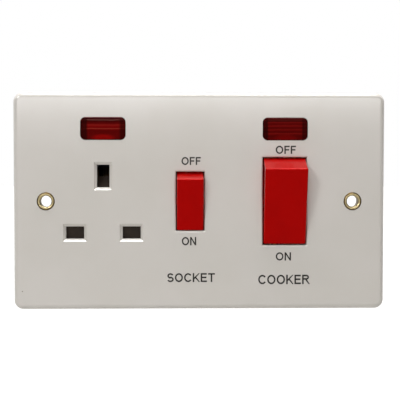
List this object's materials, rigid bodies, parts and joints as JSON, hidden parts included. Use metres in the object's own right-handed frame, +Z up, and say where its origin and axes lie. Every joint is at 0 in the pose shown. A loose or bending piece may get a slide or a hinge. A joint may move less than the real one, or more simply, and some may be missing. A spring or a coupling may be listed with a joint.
{
  "type": "cooker control unit",
  "caption": "White moulded two-gang wall plate with a switched 13 A socket, a large red cooker switch and red neon windows over its rear contact housings.",
  "frame": {"origin": "centre of the plate on the wall plane, midway between the two fixing holes", "axes": "+X to the right seen from the front, +Y into the wall, +Z up; the front face looks along -Y"},
  "size_m": [0.146, 0.0377, 0.0852],
  "materials": {
    "white_moulding": "glossy moulded urea resin",
    "red_moulding": "glossy moulded red plastic",
    "red_lens": "clear dark red moulding with ribs",
    "base_moulding": "dark satin phenolic moulding",
    "dark_moulding": "dark moulded plastic",
    "plunger_moulding": "natural nylon",
    "brass": "bright rolled or turned brass",
    "spring_steel": "drawn wire",
    "plated_steel": "zinc plated",
    "lamp_glass": "clear glass bulb",
    "resistor_body": "lacquered"
  },
  "bodies": {
    "unit": {"front_plate": "white_moulding", "eyelet_left": "brass", "eyelet_right": "brass", "earth_strap": "brass", "socket_lens": "red_lens", "cooker_lens": "red_lens", "socket_neon_lamp": "lamp_glass", "cooker_neon_lamp": "lamp_glass", "socket_neon_resistor": "resistor_body", "cooker_neon_resistor": "resistor_body", "socket_base": "base_moulding", "cooker_base": "base_moulding", "shutter_spring": "spring_steel", "line_contact": "brass", "neutral_contact": "brass", "earth_contact": "brass", "line_link": "brass", "neutral_link": "brass", "socket_switch_post": "brass", "cooker_line_supply_terminal": "brass", "cooker_line_load_terminal": "brass", "cooker_neutral_supply_terminal": "brass", "cooker_neutral_load_terminal": "brass", "terminal_screws": "plated_steel", "earth_terminal": "brass", "earth_terminal_screws": "plated_steel", "base_screws": "plated_steel"},
    "socket_switch": {"socket_rocker": "red_moulding", "socket_plunger_spring": "spring_steel"},
    "socket_plunger_pin": {"socket_plunger": "plunger_moulding"},
    "socket_contact": {"socket_moving_contact": "brass"},
    "cooker_switch": {"cooker_rocker": "red_moulding", "cooker_line_plunger_spring": "spring_steel", "cooker_neutral_plunger_spring": "spring_steel"},
    "cooker_line_plunger_pin": {"cooker_line_plunger": "plunger_moulding"},
    "cooker_neutral_plunger_pin": {"cooker_neutral_plunger": "plunger_moulding"},
    "cooker_line_contact": {"cooker_line_moving_contact": "brass"},
    "cooker_neutral_contact": {"cooker_neutral_moving_contact": "brass"},
    "pin_shutter": {"shutter": "dark_moulding"}
  },
  "joints": [
    {"name": "socket_rocker_tilt", "type": "hinge", "parent": "unit", "child": "socket_switch", "pos_m": [-0.00375, -0.004, 0], "axis": [-1, 0, 0], "range_deg": [0, 23]},
    {"name": "socket_contact_tilt", "type": "hinge", "parent": "unit", "child": "socket_contact", "pos_m": [-0.00375, 0.007, 0], "axis": [-1, 0, 0], "range_deg": [-11.5, 0]},
    {"name": "socket_plunger_slide", "type": "slide", "parent": "socket_switch", "child": "socket_plunger_pin", "axis": [0, -0.9799, -0.1994], "range_m": [0, 0.0008], "stiffness_N_per_m": 200, "springref_m": -0.002, "deforming": ["socket_plunger_spring"]},
    {"name": "cooker_rocker_tilt", "type": "hinge", "parent": "unit", "child": "cooker_switch", "pos_m": [0.0335, -0.004, 0], "axis": [-1, 0, 0], "range_deg": [0, 28]},
    {"name": "cooker_line_contact_tilt", "type": "hinge", "parent": "unit", "child": "cooker_line_contact", "pos_m": [0.0295, 0.007, 0], "axis": [-1, 0, 0], "range_deg": [-14, 0]},
    {"name": "cooker_neutral_contact_tilt", "type": "hinge", "parent": "unit", "child": "cooker_neutral_contact", "pos_m": [0.0375, 0.007, 0], "axis": [-1, 0, 0], "range_deg": [-14, 0]},
    {"name": "cooker_line_plunger_slide", "type": "slide", "parent": "cooker_switch", "child": "cooker_line_plunger_pin", "axis": [0, -0.9703, -0.2419], "range_m": [0, 0.0008], "stiffness_N_per_m": 200, "springref_m": -0.002, "deforming": ["cooker_line_plunger_spring"]},
    {"name": "cooker_neutral_plunger_slide", "type": "slide", "parent": "cooker_switch", "child": "cooker_neutral_plunger_pin", "axis": [0, -0.9703, -0.2419], "range_m": [0, 0.0008], "stiffness_N_per_m": 200, "springref_m": -0.002, "deforming": ["cooker_neutral_plunger_spring"]},
    {"name": "shutter_slide", "type": "slide", "parent": "unit", "child": "pin_shutter", "axis": [0, 0, -1], "range_m": [0, 0.0052], "stiffness_N_per_m": 150, "springref_m": -0.003, "deforming": ["shutter_spring"]}
  ],
  "couplings": [
    {"joint": "socket_contact_tilt", "follows": "socket_rocker_tilt", "ratio": -0.5},
    {"joint": "cooker_line_contact_tilt", "follows": "cooker_rocker_tilt", "ratio": -0.5},
    {"joint": "cooker_neutral_contact_tilt", "follows": "cooker_rocker_tilt", "ratio": -0.5}
  ]
}
